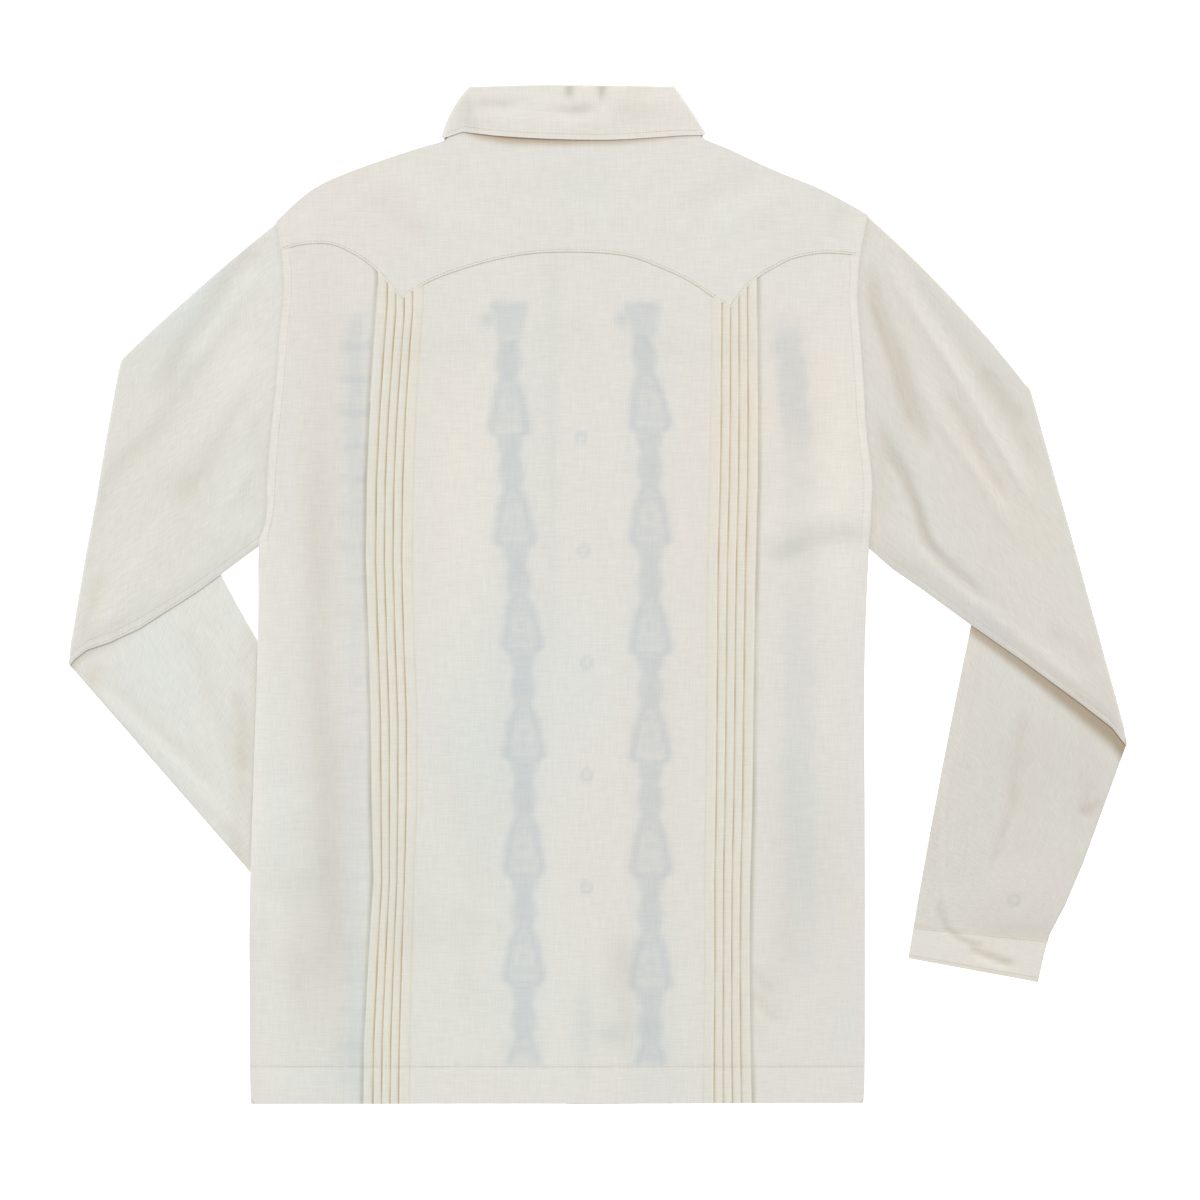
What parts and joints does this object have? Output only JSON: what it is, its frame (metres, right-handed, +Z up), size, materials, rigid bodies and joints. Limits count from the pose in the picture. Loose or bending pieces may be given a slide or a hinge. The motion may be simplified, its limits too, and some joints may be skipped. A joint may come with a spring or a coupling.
{
  "type": "guayabera shirt",
  "caption": "Long-sleeved button-front guayabera shirt laid flat on its front, with scalloped back yoke, two bands of vertical tucks and sleeves folded under at the elbow.",
  "frame": {"origin": "middle of the ground that the laid-out shirt covers, on the surface it lies on", "axes": "+Z up from the surface, +Y towards the collar, +X towards the wearer's right sleeve"},
  "size_m": [0.8487, 0.8148, 0.0084],
  "materials": {
    "cloth": "ivory linen-look plain weave, matt",
    "buttons": "pearly four-hole buttons"
  },
  "bodies": {
    "root": {"back_panel": "cloth", "back_yoke": "cloth", "front_left": "cloth", "front_right": "cloth", "placket": "cloth", "collar": "cloth", "sleeve_left": "cloth", "sleeve_right": "cloth", "cuff_left": "cloth", "cuff_right": "cloth", "button_1": "buttons", "button_2": "buttons", "button_3": "buttons", "button_4": "buttons", "button_5": "buttons", "button_6": "buttons", "sleeve_button_left": "buttons", "sleeve_button_right": "buttons"}
  },
  "joints": []
}
